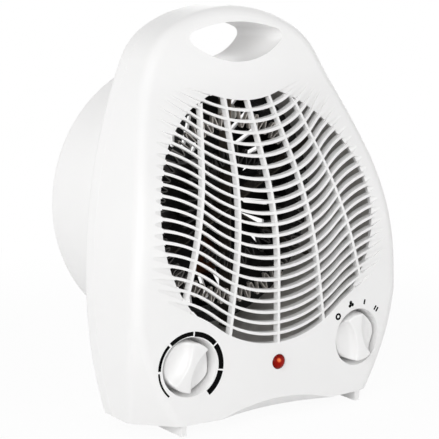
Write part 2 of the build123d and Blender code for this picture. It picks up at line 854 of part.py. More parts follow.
def make_impeller():
    """Axial fan: a hub with twisted blades."""
    hub = turned(hub_radius, fan_front_y, fan_length)
    hub = fillet(hub.edges().group_by(Axis.Y)[0], hub_radius / 4)
    middle_y = fan_front_y + fan_length / 2
    root = hub_radius - blade_root_sink
    blades = Part()
    for i in range(blade_count):
        sections = []
        for radius, chord, pitch in (
            (root, blade_root_chord, blade_root_pitch),
            (fan_radius, blade_tip_chord, blade_tip_pitch),
        ):
            plane = Plane((0, middle_y, axis_z + radius), x_dir=(1, 0, 0), z_dir=(0, 0, 1))
            sections.append(plane * Rot(0, 0, pitch) * Rectangle(chord, blade_sheet))
        blade = loft(sections).rotate(Axis((0, 0, axis_z), (0, 1, 0)), i * 360 / blade_count)
        blades += blade
    ring = turned(fan_radius, fan_front_y, fan_length)
    fan = hub + (blades & ring)
    return fan - turned(shaft_radius + fit / 2, fan_front_y, fan_length)


def make_fan_clip():
    """Spring cap that holds the fan on its shaft."""
    cap = turned(clip_radius, clip_front_y, fan_front_y - clip_front_y)
    cap = fillet(cap.edges().group_by(Axis.Y)[0], clip_length / 2)
    return cap - turned(shaft_radius + fit / 2, fan_front_y - clip_length, clip_length)


def make_knob(sign, turn):
    """Round knob with both sides scooped away, which leaves a grip ridge right across it."""
    start = Plane.XZ.offset(-(dish_floor_y - knob_gap))
    tall = knob_disc + grip_height
    top_radius = knob_radius - knob_taper
    knob = start * Cone(knob_radius, top_radius, tall, align=(Align.CENTER, Align.CENTER, Align.MIN))
    front = dish_floor_y - knob_gap - tall
    for side in (-1, 1):
        knob -= Pos(side * (grip_width / 2 + grip_height), front, 0) * Cylinder(grip_height, 4 * knob_radius)
    back_y = dish_floor_y - knob_gap
    rims = [e for e in knob.edges() if max((e @ 0).Y, (e @ 0.5).Y, (e @ 1).Y) < back_y - knob_edge]
    knob = fillet(rims, knob_edge)
    bore_length = knob_gap + knob_disc + grip_height / 2
    knob -= start * Cylinder(
        control_shaft_radius + fit / 2, bore_length, align=(Align.CENTER, Align.CENTER, Align.MIN)
    )
    return Pos(sign * knob_x, 0, knob_z) * knob.rotate(Axis.Y, -turn)


def make_control_shaft(sign, length):
    front = dish_floor_y - knob_gap - knob_disc - grip_height / 2
    return turned(control_shaft_radius, front, control_y + length / 2 - front, sign * knob_x, knob_z)


def make_control_body(sign, length):
    """Body behind the panel, with a collar through it that carries the shaft."""
    x = sign * knob_x
    box = Pos(x, control_y + length / 2, knob_z) * Box(control_size, length, control_size)
    box = fillet(box.edges().filter_by(Axis.Y), control_size / 8)
    box += turned(control_collar_radius, dish_floor_y, wall, x, knob_z)
    return box - turned(control_shaft_radius + fit, dish_floor_y, wall + length / 2, x, knob_z)


def with_tabs(body, sign, length, count):
    """Adds a row of spade terminals on the back of a control body."""
    pitch = control_size / (count + 1)
    y = control_y + length
    for i in range(count):
        tab = Pos(sign * knob_x, y + tab_length / 2, knob_z - control_size / 2 + (i + 1) * pitch)
        body += tab * Box(tab_width, tab_length, tab_sheet)
    return body


def make_indicator_lens():
    """Domed lens pushed in from behind, held by its flange."""
    rim = lamp_radius + lamp_flange
    dome = (lamp_radius, wall)
    tip = (0, wall + lamp_dome)
    curve = (lamp_radius**2 + lamp_dome**2) / (2 * lamp_dome)
    half_angle = math.asin(lamp_radius / curve) / 2
    bulge = (curve * math.sin(half_angle), tip[1] - curve * (1 - math.cos(half_angle)))
    section = face_of(
        [
            Line((0, -lamp_flange), (rim, -lamp_flange)),
            Line((rim, -lamp_flange), (rim, 0)),
            Line((rim, 0), (lamp_radius, 0)),
            Line((lamp_radius, 0), dome),
            ThreePointArc(dome, bulge, tip),
            Line(tip, (0, -lamp_flange)),
        ]
    )
    plane = Plane((0, panel_back_y, lamp_z), x_dir=(1, 0, 0), z_dir=(0, 0, -1))
    return revolve(plane * section, Axis((0, 0, lamp_z), (0, 1, 0)))


def make_lamp_holder():
    start = panel_back_y + lamp_flange
    body = turned(lamp_radius + lamp_flange, start, lamp_length, 0, lamp_z)
    tab_y = start + lamp_length + tab_length / 2
    tabs = [
        Pos(sign * lamp_radius / 2, tab_y, lamp_z) * Box(tab_sheet, tab_length, tab_width) for sign in (-1, 1)
    ]
    return body + tabs


def make_terminal_block():
    width, length, tall = block_size
    floor_z = body_bottom + wall
    back_y = rim_y(floor_z) - wall / math.cos(lean_rad) - clearance
    block = Pos(block_x, back_y - length / 2, floor_z + tall / 2) * Box(width, length, tall)
    wells = [
        Pos(block_x + (i - (block_ways - 1) / 2) * width / block_ways, back_y - length / 2, floor_z + tall)
        * Cylinder(well_radius, tall)
        for i in range(block_ways)
    ]
    return block - wells


def make_inlet_bush():
    """Round bush in the back of the rim where the mains lead goes in."""
    bush = rim_bar(inlet_x, inlet_z, inlet_radius, 0, wall)
    bush += rim_bar(inlet_x, inlet_z, inlet_flange, wall, wall)
    bush += rim_bar(inlet_x, inlet_z, inlet_flange - inlet_lip, -wall, wall)
    return bush - rim_bar(inlet_x, inlet_z, inlet_bore, depth, 2 * depth)


def screw(plane, length):
    """A pan-head screw with a cross recess: its head sits on the plane, its shank runs against the normal."""
    head = Cylinder(head_radius, head_height, align=(Align.CENTER, Align.CENTER, Align.MIN))
    head = fillet(head.edges().group_by(Axis.Z)[-1], head_edge)
    cross = Rectangle(recess_length, recess_width) + Rectangle(recess_width, recess_length)
    head -= Pos(0, 0, head_height) * extrude(cross, -recess_depth)
    shank = Cylinder(screw_radius, length, align=(Align.CENTER, Align.CENTER, Align.MAX))
    return plane * (head + shank)


def make_shell_screws():
    return [screw(rim_spot(x, z), screw_length) for x, z in post_places()]


def facing_front(x, y, z):
    return Plane((x, y, z), x_dir=(1, 0, 0), z_dir=(0, -1, 0))


def make_plate_screws():
    return [screw(facing_front(x, plate_y, z), lug_length) for x, z in lug_places]


def make_motor_screws():
    return [screw(facing_front(x, core_front_y, z), core_length + boss_depth) for x, z in motor_bosses]


def make_bracket_screws():
    seat_y = core_front_y - bracket_standoff - bracket_sheet
    length = bracket_standoff + bracket_sheet + core_length + bracket_sheet
    return [screw(facing_front(x, seat_y, z), length) for x, z in bracket_screws]


parts = {
    "front_shell": make_front_shell(),
    "rear_shell": make_rear_shell(),
    "left_foot": make_foot(-foot_x),
    "right_foot": make_foot(foot_x),
    "air_duct": make_air_duct(),
    "fan_plate": make_fan_plate(),
    "mica_frame": make_mica_frame(),
    "outer_heating_ribbon": make_heating_ribbon(outer_ring),
    "inner_heating_ribbon": make_heating_ribbon(inner_ring),
    "thermal_cutout": make_thermal_cutout(),
    "thermal_fuse": make_thermal_fuse(),
    "motor_core": make_motor_core(),
    "motor_winding": make_motor_winding(),
    "front_bearing_bracket": make_bracket(core_front_y, -1, bracket_standoff),
    "rear_bearing_bracket": make_bracket(core_back_y, 1, 0),
    "rotor": make_rotor(),
    "fan_shaft": make_fan_shaft(),
    "fan_impeller": make_impeller(),
    "fan_clip": make_fan_clip(),
    "thermostat_knob": make_knob(-1, thermostat_turn),
    "switch_knob": make_knob(1, switch_turn),
    "thermostat_shaft": make_control_shaft(-1, thermostat_length),
    "switch_shaft": make_control_shaft(1, switch_length),
    "thermostat": with_tabs(make_control_body(-1, thermostat_length), -1, thermostat_length, 2),
    "rotary_switch": with_tabs(make_control_body(1, switch_length), 1, switch_length, 4),
    "indicator_lens": make_indicator_lens(),
    "lamp_holder": make_lamp_holder(),
    "terminal_block": make_terminal_block(),
    "inlet_bush": make_inlet_bush(),
    "shell_screws": make_shell_screws(),
    "plate_screws": make_plate_screws(),
    "motor_screws": make_motor_screws(),
    "bracket_screws": make_bracket_screws(),
}

knob_front_y = dish_floor_y - knob_gap - knob_disc - grip_height
to_middle = Pos(0, -(knob_front_y + drum_back_y) / 2, 0)
os.makedirs("parts", exist_ok=True)
for name, shape in parts.items():
    shapes = shape if isinstance(shape, list) else [shape]
    pieces = [to_middle * solid for item in shapes for solid in item.solids()]
    export_step(pieces[0] if len(pieces) == 1 else Compound(pieces), f"parts/{name}.step")
    print(name, len(pieces))
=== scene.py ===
import bpy
import math
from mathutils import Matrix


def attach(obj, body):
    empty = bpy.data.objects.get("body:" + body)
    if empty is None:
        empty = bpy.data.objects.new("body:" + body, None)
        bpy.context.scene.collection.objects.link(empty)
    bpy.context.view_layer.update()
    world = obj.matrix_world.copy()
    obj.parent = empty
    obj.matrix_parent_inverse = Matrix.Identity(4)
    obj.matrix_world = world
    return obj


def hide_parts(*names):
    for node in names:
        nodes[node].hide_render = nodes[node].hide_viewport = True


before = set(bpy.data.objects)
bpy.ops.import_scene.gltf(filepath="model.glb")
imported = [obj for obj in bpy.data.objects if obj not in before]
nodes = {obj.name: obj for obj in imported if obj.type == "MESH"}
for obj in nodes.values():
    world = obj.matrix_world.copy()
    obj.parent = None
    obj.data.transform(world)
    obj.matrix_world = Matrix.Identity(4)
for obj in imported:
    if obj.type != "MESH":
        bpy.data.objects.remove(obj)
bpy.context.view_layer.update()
print("loaded", len(nodes), "CAD pieces")


class Value:  # a shader socket that can stand in plain arithmetic
    def __init__(self, maker, socket):
        self.maker = maker
        self.socket = socket

    def mix(self, operation, first, second=0.0):
        return self.maker.node("ShaderNodeMath", {"operation": operation}, {0: first, 1: second}).out()

    def __add__(self, other):
        return self.mix("ADD", self, other)

    def __radd__(self, other):
        return self.mix("ADD", other, self)

    def __sub__(self, other):
        return self.mix("SUBTRACT", self, other)

    def __rsub__(self, other):
        return self.mix("SUBTRACT", other, self)

    def __mul__(self, other):
        return self.mix("MULTIPLY", self, other)

    def __rmul__(self, other):
        return self.mix("MULTIPLY", other, self)

    def __truediv__(self, other):
        return self.mix("DIVIDE", self, other)

    def __rtruediv__(self, other):
        return self.mix("DIVIDE", other, self)

    def __lt__(self, other):
        return self.mix("LESS_THAN", self, other)

    def __gt__(self, other):  # the reflected form of <
        return self.mix("GREATER_THAN", self, other)

    def size(self):
        return self.mix("ABSOLUTE", self)

    def root(self):
        return self.mix("POWER", self, 0.5)

    def wave(self, pitch):
        return self.mix("SINE", self * (2 * math.pi / pitch))

    def around(self, middle, spread):  # noise runs from 0 to 1, so this varies about the middle
        return middle + (self - 0.5) * spread


class Made:  # a node that was just added, with its outputs by number or name
    def __init__(self, maker, node):
        self.maker = maker
        self.node = node

    def out(self, key=0):
        return Value(self.maker, self.node.outputs[key])


class NodeMaker:  # adds nodes to one material or world
    def __init__(self, tree):
        self.tree = tree

    def feed(self, socket, value):  # links a value, or writes a plain number or colour
        if isinstance(value, Value):
            self.tree.links.new(value.socket, socket)
        else:
            socket.default_value = value

    def node(self, kind, settings=None, inputs=None):
        made = self.tree.nodes.new(kind)
        for key, value in (settings or {}).items():
            setattr(made, key, value)
        for key, value in (inputs or {}).items():
            self.feed(made.inputs[key], value)
        return Made(self, made)

    def lookedAt(self):  # 1 for rays that look at the surface, straight or in a reflection
        rays = self.node("ShaderNodeLightPath")
        return rays.out("Is Camera Ray") + rays.out("Is Glossy Ray") + rays.out("Is Transmission Ray")


class Paint(NodeMaker):  # one material
    def __init__(self, name):
        self.material = bpy.data.materials.new(name)
        self.material.use_nodes = True
        super().__init__(self.material.node_tree)
        self.shader = self.tree.nodes["Principled BSDF"]
        self.place = self.node("ShaderNodeTexCoord").out("Object")

    def axes(self):
        split = self.node("ShaderNodeSeparateXYZ", {}, {0: self.place})
        return split.out(0), split.out(1), split.out(2)

    def noise(self, scale, detail, rough=0.5, stretch=None):
        where = self.place
        if stretch:
            where = self.node("ShaderNodeMapping", {}, {"Vector": self.place, "Scale": stretch}).out()
        inputs = {"Vector": where, "Scale": scale, "Detail": detail, "Roughness": rough}
        return self.node("ShaderNodeTexNoise", {}, inputs).out()

    def cells(self, scale, output):
        return self.node("ShaderNodeTexVoronoi", {}, {"Vector": self.place, "Scale": scale}).out(output)

    def blend(self, share, first, second):
        inputs = {0: share, 6: first, 7: second}  # 6 and 7 are the Mix node's colours
        return self.node("ShaderNodeMix", {"data_type": "RGBA"}, inputs).out(2)

    def ramp(self, value, start, end):  # 0 up to start, 1 from end on, smooth between
        inputs = {"Value": value, "From Min": start, "From Max": end}
        return self.node("ShaderNodeMapRange", {"interpolation_type": "SMOOTHSTEP"}, inputs).out()

    def set(self, **values):
        for key, value in values.items():
            self.feed(self.shader.inputs[key.replace("_", " ")], value)
        return self

    def bump(self, height, strength, distance):
        inputs = {"Strength": strength, "Distance": distance, "Height": height}
        return self.set(Normal=self.node("ShaderNodeBump", {}, inputs).out())

    def on(self, *where):  # names of CAD pieces, or new pieces
        for named in where:
            piece = nodes[named] if isinstance(named, str) else named
            piece.data.materials.clear()
            piece.data.materials.append(self.material)


def shade(level, warm=0.0):
    return (level, level * (1 - warm), level * (1 - 2 * warm), 1)


def apart(across, up):
    return (across * across + up * up).root()


# moulded white housing, with painted shade inside the drum
whiteShell = {
    "light": shade(0.88, warm=0.002), "dark": shade(0.85, warm=0.006), "cloud": {"scale": 22, "detail": 4},
    "roughness": 0.46, "spread": 0.06, "ior": 1.5,
    "grain": {"scale": 2600, "detail": 2}, "relief": {"strength": 0.12, "distance": 0.00001},
}
drum = {"axisZ": 0.122, "inside": 0.0878, "back": 0.0578, "paintedShade": shade(0.012)}


def whiteMoulding(name, shadedInside, *where):  # when set, painted shade darkens the inside of the drum
    paint = Paint(name)
    cloud = paint.noise(**whiteShell["cloud"])
    colour = paint.blend(cloud, whiteShell["dark"], whiteShell["light"])
    if shadedInside:
        # painted shade: the drum's inside is near-black
        x, y, z = paint.axes()
        inside = (apart(x, z - drum["axisZ"]) < drum["inside"]) * (y < drum["back"])
        colour = paint.blend(inside, colour, drum["paintedShade"])
    paint.set(
        Base_Color=colour,
        Roughness=cloud.around(whiteShell["roughness"], whiteShell["spread"]),
        IOR=whiteShell["ior"],
    )
    paint.bump(paint.noise(**whiteShell["grain"]), **whiteShell["relief"])
    paint.on(*where)


whiteMoulding("whiteMoulding", False, "front_shell", "left_foot", "right_foot", "inlet_bush")
whiteMoulding("whiteDrumShadedInside", True, "rear_shell")
print("housing painted")

# small mouldings and glazed pieces
smallPiece = {
    "cloud": {"scale": 60, "detail": 3}, "darker": 0.88, "spread": 0.1,
    "grain": {"scale": 1800, "detail": 2}, "relief": {"strength": 0.1, "distance": 0.00001},
}
creamMoulding = {"colour": (0.72, 0.66, 0.52), "roughness": 0.5}
shaftMoulding = {"colour": (0.6, 0.57, 0.5), "roughness": 0.42}
blackMoulding = {"colour": (0.025, 0.025, 0.027), "roughness": 0.45}
glazedCeramic = {"colour": (0.82, 0.81, 0.77), "roughness": 0.25}


def plainFinish(name, finish, *where):
    paint = Paint(name)
    cloud = paint.noise(**smallPiece["cloud"])
    light = finish["colour"] + (1,)
    dark = tuple(part * smallPiece["darker"] for part in finish["colour"]) + (1,)
    paint.set(
        Base_Color=paint.blend(cloud, dark, light),
        Roughness=cloud.around(finish["roughness"], smallPiece["spread"]),
    )
    paint.bump(paint.noise(**smallPiece["grain"]), **smallPiece["relief"])
    paint.on(*where)


plainFinish("creamMoulding", creamMoulding, "thermostat", "lamp_holder", "terminal_block")
plainFinish("shaftMoulding", shaftMoulding, "thermostat_shaft", "switch_shaft")
plainFinish("blackMoulding", blackMoulding, "rotary_switch")
plainFinish("glazedCeramic", glazedCeramic, "thermal_cutout", "thermal_fuse")

# red lamp lens: painted shade towards the rim, with a painted highlight near the middle
redLens = {
    "z": 0.0362, "reach": 0.0046, "rim": (0.13, 0.002, 0.001, 1), "middle": (0.34, 0.006, 0.001, 1),
    "highlightX": -0.0012, "highlightZ": 0.0377, "highlightReach": 0.0015, "glowAndHighlight": (0.9, 0.2, 0.07, 1),
    "roughness": 0.24, "shine": 0.07, "ior": 1.49,
}
paint = Paint("redLens")
x, y, z = paint.axes()
# painted shade darkens the lens towards its rim, and a painted highlight brightens one spot
off = apart(x, z - redLens["z"]) / redLens["reach"]
far = apart(x - redLens["highlightX"], z - redLens["highlightZ"]) / redLens["highlightReach"]
red = paint.blend(off * off, redLens["middle"], redLens["rim"])
paint.set(
    Base_Color=paint.blend(far * far, redLens["glowAndHighlight"], red),
    Roughness=redLens["roughness"],
    Specular_IOR_Level=redLens["shine"],
    IOR=redLens["ior"],
)
paint.on("indicator_lens")

# zinc-coated sheet with a faint spangle and rolling marks
zinc = {
    "spangle": 130, "spangleShare": 0.5, "spread": 0.2,
    "roll": {"scale": 40, "detail": 4, "rough": 0.6, "stretch": (1, 1, 18)},
    "relief": {"strength": 0.15, "distance": 0.00005},
}
# the duct is painted lighter and warmer than bare zinc, as painted light
litDuctSheet = {
    "light": shade(0.68, warm=0.035), "dark": shade(0.55, warm=0.035),
    "metal": 0.15, "roughness": 0.42, "shine": 0.5,
}
# the fan plate is painted near-black as shade
shadedPlateSheet = {"light": shade(0.04), "dark": shade(0.025), "metal": 0.0, "roughness": 0.6, "shine": 0.15}
# the bearing brackets are painted dark as shade
shadedStrapSheet = {"light": shade(0.2), "dark": shade(0.13), "metal": 0.6, "roughness": 0.5, "shine": 0.5}


def zincSheet(name, sheet, *where):
    paint = Paint(name)
    spangle = paint.node("ShaderNodeSeparateColor", {}, {0: paint.cells(zinc["spangle"], "Color")}).out()
    roll = paint.noise(**zinc["roll"])
    tone = spangle * zinc["spangleShare"] + roll * (1 - zinc["spangleShare"])
    paint.set(
        Base_Color=paint.blend(tone, sheet["dark"], sheet["light"]),
        Metallic=sheet["metal"],
        Specular_IOR_Level=sheet["shine"],
        Roughness=tone.around(sheet["roughness"], zinc["spread"]),
    )
    paint.bump(roll, **zinc["relief"])
    paint.on(*where)


zincSheet("litDuctSheet", litDuctSheet, "air_duct")
zincSheet("shadedPlateSheet", shadedPlateSheet, "fan_plate")
zincSheet("shadedStrapSheet", shadedStrapSheet, "front_bearing_bracket", "rear_bearing_bracket")

# steel with fine turning marks: bright screws, and the fan shaft, clip and rotor painted near-black as shade
turning = {
    "marks": {"scale": 900, "detail": 3}, "spread": 0.16,
    "relief": {"strength": 0.1, "distance": 0.00002},
}
brightSteel = {"light": shade(0.66), "dark": shade(0.5), "metal": 1.0, "roughness": 0.26}
# the fan shaft, clip and rotor are painted near-black as shade
shadedSteel = {"light": shade(0.06), "dark": shade(0.03), "metal": 0.7, "roughness": 0.4}


def turnedSteel(name, steel, *where):
    paint = Paint(name)
    marks = paint.noise(**turning["marks"])
    paint.set(
        Base_Color=paint.blend(marks, steel["dark"], steel["light"]),
        Metallic=steel["metal"],
        Roughness=steel["roughness"] + marks * turning["spread"],
    )
    paint.bump(marks, **turning["relief"])
    paint.on(*where)


turnedSteel("brightSteel", brightSteel, "shell_screws", "plate_screws", "motor_screws", "bracket_screws")
turnedSteel("shadedSteel", shadedSteel, "fan_shaft", "fan_clip", "rotor")

# stacked motor sheets: thin lines across the stack
motorStack = {
    "sheet": 0.0005, "rust": {"scale": 160, "detail": 4}, "grey": (0.09, 0.09, 0.1, 1),
    "rusty": (0.2, 0.18, 0.17, 1), "metal": 0.6, "roughness": 0.45, "spread": 0.2,
    "relief": {"strength": 0.35, "distance": 0.0001},
}
paint = Paint("motorStack")
x, y, z = paint.axes()
rust = paint.noise(**motorStack["rust"])
paint.set(
    Base_Color=paint.blend(rust, motorStack["grey"], motorStack["rusty"]),
    Metallic=motorStack["metal"],
    Roughness=motorStack["roughness"] + rust * motorStack["spread"],
)
paint.bump(y.wave(motorStack["sheet"]), **motorStack["relief"])
paint.on("motor_core")

# enamelled copper, darker than its own colour as painted shade, one row of turns beside another
shadedCopperTurns = {
    "wire": 0.0007, "tone": {"scale": 120, "detail": 3}, "dark": (0.05, 0.016, 0.007, 1),
    "light": (0.11, 0.038, 0.016, 1), "metal": 0.85, "roughness": 0.3, "spread": 0.15,
    "relief": {"strength": 0.6, "distance": 0.00025},
}
paint = Paint("shadedCopperTurns")
x, y, z = paint.axes()
tone = paint.noise(**shadedCopperTurns["tone"])
paint.set(
    Base_Color=paint.blend(tone, shadedCopperTurns["dark"], shadedCopperTurns["light"]),
    Metallic=shadedCopperTurns["metal"],
    Roughness=shadedCopperTurns["roughness"] + tone * shadedCopperTurns["spread"],
)
paint.bump(x.wave(shadedCopperTurns["wire"]), **shadedCopperTurns["relief"])
paint.on("motor_winding")

# pressed fan, painted near-black as shade, with faint upright brush marks
shadedFanSheet = {
    "brush": {"scale": 70, "detail": 4, "rough": 0.6, "stretch": (14, 14, 1)},
    "dark": shade(0.008), "light": shade(0.02), "shine": 0.12, "roughness": 0.5, "spread": 0.2,
    "relief": {"strength": 0.12, "distance": 0.00005},
}
paint = Paint("shadedFanSheet")
brush = paint.noise(**shadedFanSheet["brush"])
paint.set(
    Base_Color=paint.blend(brush, shadedFanSheet["dark"], shadedFanSheet["light"]),
    Specular_IOR_Level=shadedFanSheet["shine"],
    Roughness=shadedFanSheet["roughness"] + brush * shadedFanSheet["spread"],
)
paint.bump(brush, **shadedFanSheet["relief"])
paint.on("fan_impeller")

# mica board: flaky, pale near the top, painted dark brown below as shade
micaBoard = {
    "paleFrom": 0.15, "paleTo": 0.175, "shadedTone": (0.045, 0.038, 0.03, 1), "pale": (0.34, 0.29, 0.24, 1),
    "cloud": {"scale": 70, "detail": 5}, "leastPale": 0.4, "flake": 420,
    "shine": 0.2, "roughness": 0.4, "spread": 0.4, "relief": {"strength": 0.3, "distance": 0.0001},
}
paint = Paint("micaBoard")
x, y, z = paint.axes()
flake = paint.cells(micaBoard["flake"], "Distance")
patchy = micaBoard["leastPale"] + (1 - micaBoard["leastPale"]) * paint.noise(**micaBoard["cloud"])
# painted shade: dark brown except near the top
pale = paint.ramp(z, micaBoard["paleFrom"], micaBoard["paleTo"]) * patchy
paint.set(
    Base_Color=paint.blend(pale, micaBoard["shadedTone"], micaBoard["pale"]),
    Specular_IOR_Level=micaBoard["shine"],
    Roughness=micaBoard["roughness"] + flake * micaBoard["spread"],
)
paint.bump(flake, **micaBoard["relief"])
paint.on("mica_frame")

# resistance ribbon: pale at the top and bottom, painted black between as shade
ribbon = {
    "paleFrom": 0.03, "paleTo": 0.055, "tint": {"scale": 90, "detail": 3}, "leastPale": 0.6,
    "metal": 0.6, "roughness": 0.34, "spread": 0.2,
    "grain": {"scale": 1500, "detail": 2}, "relief": {"strength": 0.1, "distance": 0.00002},
}
outerRibbon = {"shadedTone": shade(0.1, warm=0.04), "pale": shade(0.85, warm=0.06)}
# the inner ribbon is a darker copy of the outer one, as painted shade
shadedInnerRibbon = {"shadedTone": shade(0.04, warm=0.04), "pale": shade(0.4, warm=0.06)}


def shadedRibbon(name, colours, *where):
    paint = Paint(name)
    x, y, z = paint.axes()
    tint = paint.noise(**ribbon["tint"])
    patchy = ribbon["leastPale"] + (1 - ribbon["leastPale"]) * tint
    # painted shade: black away from the top and bottom
    pale = paint.ramp((z - drum["axisZ"]).size(), ribbon["paleFrom"], ribbon["paleTo"]) * patchy
    paint.set(
        Base_Color=paint.blend(pale, colours["shadedTone"], colours["pale"]),
        Metallic=ribbon["metal"],
        Roughness=ribbon["roughness"] + tint * ribbon["spread"],
    )
    paint.bump(paint.noise(**ribbon["grain"]), **ribbon["relief"])
    paint.on(*where)


shadedRibbon("outerRibbon", outerRibbon, "outer_heating_ribbon")
shadedRibbon("shadedInnerRibbon", shadedInnerRibbon, "inner_heating_ribbon")
print("all CAD pieces painted")

faceOn = (math.pi / 2, 0, 0)  # turns a primitive's upright axis to the front


def startDrawing():
    bpy.ops.object.select_all(action="DESELECT")


def modify(piece, kind, **settings):  # adds a modifier and applies it
    added = piece.modifiers.new(kind.lower(), kind)
    for key, value in settings.items():
        setattr(added, key, value)
    bpy.context.view_layer.objects.active = piece
    bpy.ops.object.modifier_apply(modifier=added.name)


# knobs: a tapered disc, both sides scooped to leave a waisted grip, with soft edges
knob = {
    "away": 0.0619, "z": 0.0419, "heatLean": 27, "speedLean": -14,
    "radius": 0.0154, "crown": 0.0149, "back": -0.0456, "front": -0.0603, "sides": 128,
    "waist": 0.0026, "scoop": 0.008, "lift": 0.0014, "sweep": 0.020, "sweepSteps": 144, "scoopSteps": 72,
    "skin": 0.0003, "softness": 0.5, "rounds": 60,
}
knobWhite = {
    "light": shade(0.885, warm=0.003), "dark": shade(0.86, warm=0.006), "cloud": {"scale": 45, "detail": 3},
    "roughness": 0.3, "spread": 0.06, "ior": 1.5,
    "grain": {"scale": 3000, "detail": 2}, "relief": {"strength": 0.08, "distance": 0.00001},
}


def softKnob(name, node, body, x, lean):
    middle = (x, (knob["back"] + knob["front"]) / 2, knob["z"])
    startDrawing()
    bpy.ops.mesh.primitive_cylinder_add(
        vertices=knob["sides"], radius=knob["radius"], depth=knob["back"] - knob["front"],
        location=middle, rotation=faceOn,
    )
    grip = bpy.context.object
    grip.name = name
    bpy.ops.object.transform_apply(location=True, rotation=True, scale=True)
    for corner in grip.data.vertices:
        corner.select = corner.co.y < middle[1]
    bpy.ops.object.mode_set(mode="EDIT")
    bpy.ops.mesh.select_mode(type="VERT")
    small = knob["crown"] / knob["radius"]
    bpy.ops.transform.resize(value=(small, 1, small), center_override=middle)
    bpy.ops.object.mode_set(mode="OBJECT")
    reach = knob["waist"] + math.sqrt(knob["scoop"] ** 2 - knob["lift"] ** 2) + knob["sweep"]
    for side in (-1, 1):
        startDrawing()
        bpy.ops.mesh.primitive_torus_add(
            location=(x + side * reach, knob["front"] - knob["lift"], knob["z"]), rotation=faceOn,
            major_radius=knob["sweep"], major_segments=knob["sweepSteps"],
            minor_radius=knob["scoop"], minor_segments=knob["scoopSteps"],
        )
        modify(grip, "BOOLEAN", operation="DIFFERENCE", object=bpy.context.object)
        bpy.ops.object.delete()  # the cutter is still the one selected
    modify(grip, "REMESH", mode="VOXEL", voxel_size=knob["skin"])
    modify(grip, "SMOOTH", factor=knob["softness"], iterations=knob["rounds"])
    startDrawing()
    grip.select_set(True)
    bpy.ops.object.mode_set(mode="EDIT")
    bpy.ops.mesh.select_all(action="SELECT")
    bpy.ops.transform.rotate(value=-math.radians(lean), orient_axis="Y", center_override=middle)
    bpy.ops.object.mode_set(mode="OBJECT")
    bpy.ops.object.shade_smooth()
    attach(grip, body)
    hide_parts(node)
    return grip


heatKnob = softKnob(
    "thermostat_grip", "thermostat_knob", "thermostat_control", -knob["away"], knob["heatLean"]
)
speedKnob = softKnob("switch_grip", "switch_knob", "switch_control", knob["away"], knob["speedLean"])
paint = Paint("knobMoulding")
cloud = paint.noise(**knobWhite["cloud"])
paint.set(
    Base_Color=paint.blend(cloud, knobWhite["dark"], knobWhite["light"]),
    Roughness=cloud.around(knobWhite["roughness"], knobWhite["spread"]),
    IOR=knobWhite["ior"],
)
paint.bump(paint.noise(**knobWhite["grain"]), **knobWhite["relief"])
paint.on(heatKnob, speedKnob)
print("knobs modelled")

# flat printed shapes, drawn in front of the panel and then laid on it
panelPrint = {
    "away": -0.075, "proud": 0.00003, "ink": 0.00008, "merge": 0.000002, "roundSteps": 16, "slack": 0.01,
}


def keepCorners(test):  # in edit mode: deletes every corner that fails the test
    piece = bpy.context.object
    bpy.ops.mesh.select_all(action="DESELECT")
    bpy.ops.object.mode_set(mode="OBJECT")
    for corner in piece.data.vertices:
        spot = piece.matrix_world @ corner.co
        corner.select = not test(spot.x, spot.z)
    bpy.ops.object.mode_set(mode="EDIT")
    bpy.ops.mesh.delete(type="VERT")


def ringBand(x, z, outer, width, steps, keep):  # a round band, or the stretch of it that keep() says
    middle = (x, panelPrint["away"], z)
    startDrawing()
    bpy.ops.mesh.primitive_circle_add(vertices=steps, radius=outer, location=middle, rotation=faceOn)
    bpy.ops.object.mode_set(mode="EDIT")
    bpy.ops.mesh.select_mode(type="VERT")
    keepCorners(keep)
    bpy.ops.mesh.select_all(action="SELECT")
    bpy.ops.mesh.extrude_region_move()
    small = (outer - width) / outer
    bpy.ops.transform.resize(value=(small, 1, small), center_override=middle)
    bpy.ops.object.mode_set(mode="OBJECT")
    return bpy.context.object


def stroke(x, z, wide, tall, lean):  # a short bar with rounded ends
    middle = (x, panelPrint["away"], z)
    startDrawing()
    bpy.ops.mesh.primitive_circle_add(
        vertices=panelPrint["roundSteps"], radius=wide / 2, fill_type="NGON", location=middle, rotation=faceOn
    )
    piece = bpy.context.object
    bpy.ops.object.mode_set(mode="EDIT")
    for way in (-1, 1):
        bpy.ops.mesh.select_all(action="DESELECT")
        bpy.ops.object.mode_set(mode="OBJECT")
        for corner in piece.data.vertices:
            corner.select = way * ((piece.matrix_world @ corner.co).z - z) > -wide * panelPrint["slack"]
        bpy.ops.object.mode_set(mode="EDIT")
        bpy.ops.transform.translate(value=(0, 0, way * (tall - wide) / 2))
    bpy.ops.mesh.select_all(action="SELECT")
    bpy.ops.transform.rotate(value=-math.radians(lean), orient_axis="Y", center_override=middle)
    bpy.ops.object.mode_set(mode="OBJECT")
    return piece


